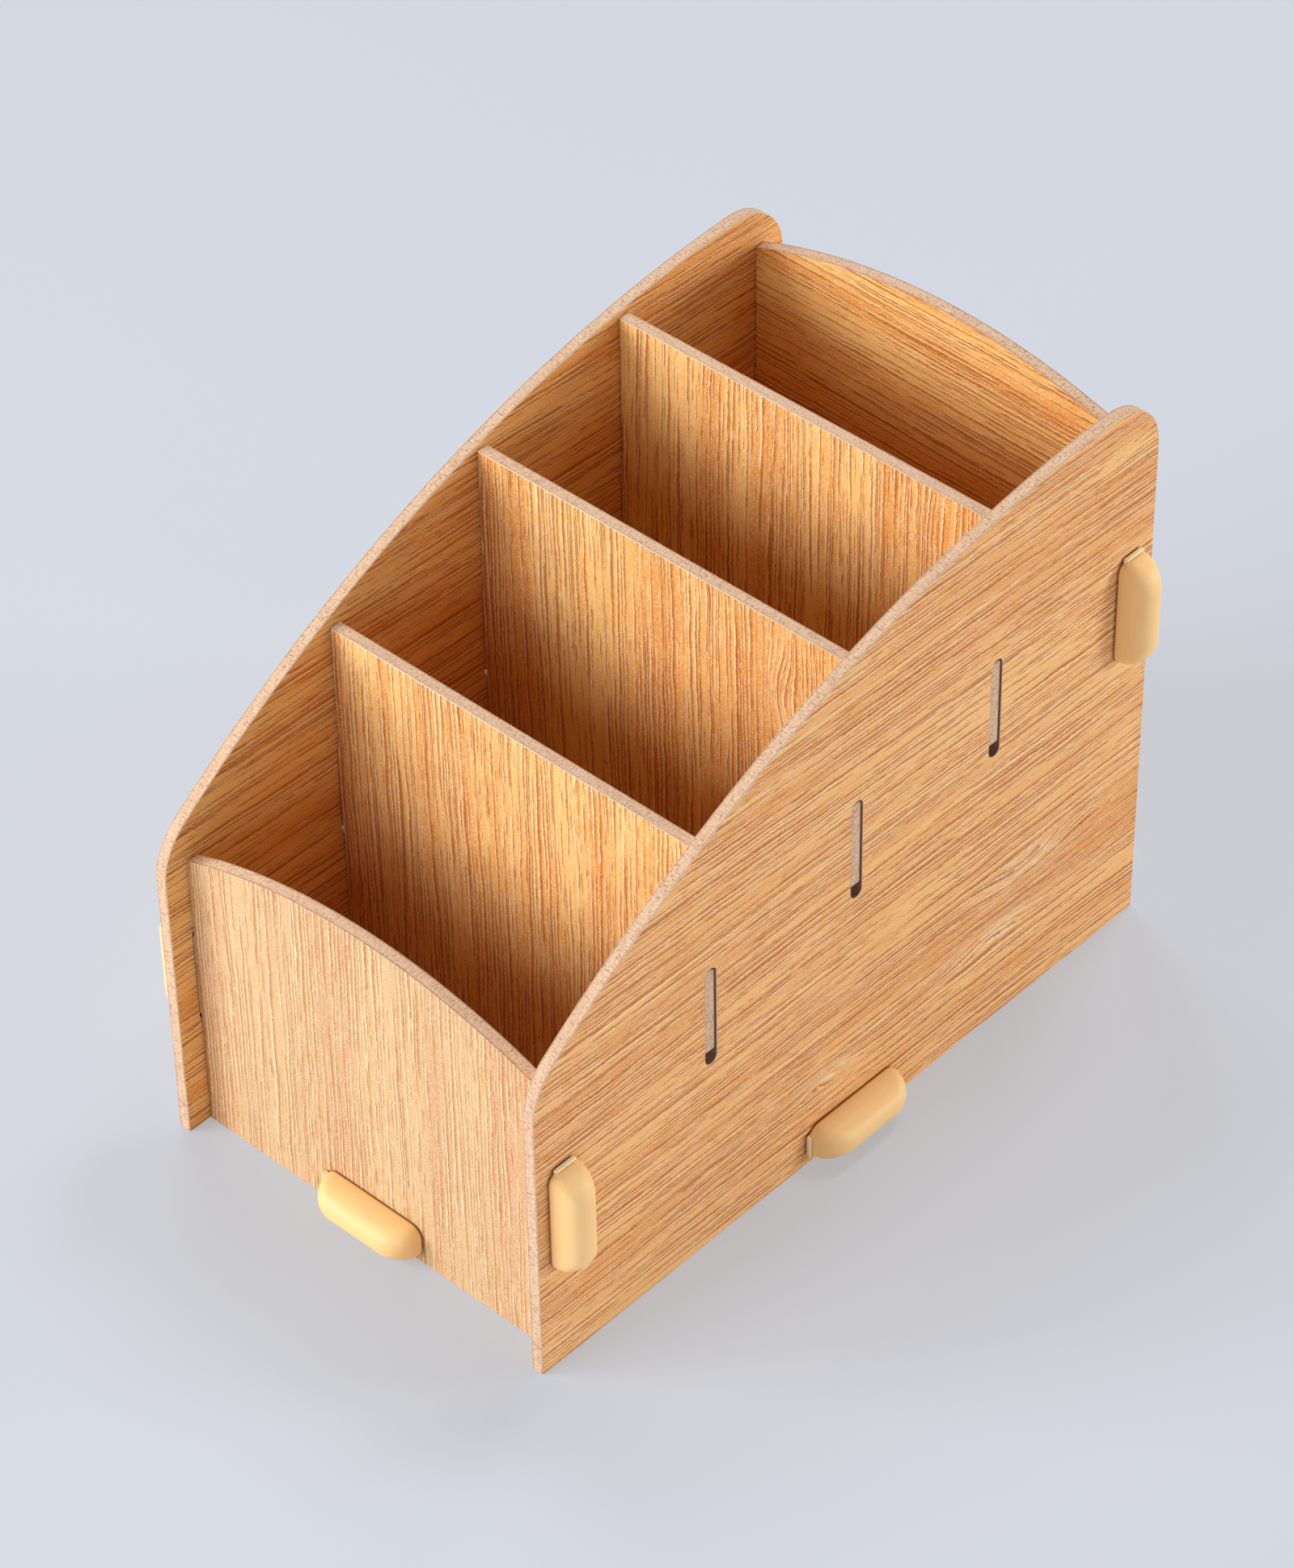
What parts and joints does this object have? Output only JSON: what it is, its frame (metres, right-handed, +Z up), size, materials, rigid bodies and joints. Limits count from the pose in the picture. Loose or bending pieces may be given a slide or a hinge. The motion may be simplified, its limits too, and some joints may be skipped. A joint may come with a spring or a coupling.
{
  "type": "desk organizer",
  "caption": "Stepped desk organizer of slotted wood-film fibreboard panels with open-topped compartments, locked together by push-on plastic clips.",
  "frame": {"origin": "on the table, under the middle of the box", "axes": "+Z up; -Y is the low front and +Y the tall back; +X is the right-hand side seen from the front"},
  "size_m": [0.1484, 0.2338, 0.1752],
  "materials": {
    "wood_film_board": "thin fibreboard with a satin printed oak-grain film on both faces and bare, speckled edges",
    "clip_plastic": "moulded, semi-matte mustard yellow"
  },
  "bodies": {
    "carcass": {"left_side_panel": "wood_film_board", "right_side_panel": "wood_film_board", "front_panel": "wood_film_board", "back_panel": "wood_film_board", "front_divider": "wood_film_board", "middle_divider": "wood_film_board", "rear_divider": "wood_film_board", "base_panel": "wood_film_board"},
    "right_front_clip": {"right_front_clip": "clip_plastic"},
    "right_rear_clip": {"right_rear_clip": "clip_plastic"},
    "right_base_clip": {"right_base_clip": "clip_plastic"},
    "left_front_clip": {"left_front_clip": "clip_plastic"},
    "left_rear_clip": {"left_rear_clip": "clip_plastic"},
    "left_base_clip": {"left_base_clip": "clip_plastic"},
    "front_base_clip": {"front_base_clip": "clip_plastic"},
    "back_base_clip": {"back_base_clip": "clip_plastic"}
  },
  "joints": [
    {"name": "right_front_clip_pull", "type": "slide", "parent": "carcass", "child": "right_front_clip", "axis": [1, 0, 0], "range_m": [0, 0.008]},
    {"name": "right_rear_clip_pull", "type": "slide", "parent": "carcass", "child": "right_rear_clip", "axis": [1, 0, 0], "range_m": [0, 0.008]},
    {"name": "right_base_clip_pull", "type": "slide", "parent": "carcass", "child": "right_base_clip", "axis": [1, 0, 0], "range_m": [0, 0.008]},
    {"name": "left_front_clip_pull", "type": "slide", "parent": "carcass", "child": "left_front_clip", "axis": [-1, 0, 0], "range_m": [0, 0.008]},
    {"name": "left_rear_clip_pull", "type": "slide", "parent": "carcass", "child": "left_rear_clip", "axis": [-1, 0, 0], "range_m": [0, 0.008]},
    {"name": "left_base_clip_pull", "type": "slide", "parent": "carcass", "child": "left_base_clip", "axis": [-1, 0, 0], "range_m": [0, 0.008]},
    {"name": "front_base_clip_pull", "type": "slide", "parent": "carcass", "child": "front_base_clip", "axis": [0, -1, 0], "range_m": [0, 0.008]},
    {"name": "back_base_clip_pull", "type": "slide", "parent": "carcass", "child": "back_base_clip", "axis": [0, 1, 0], "range_m": [0, 0.008]}
  ]
}
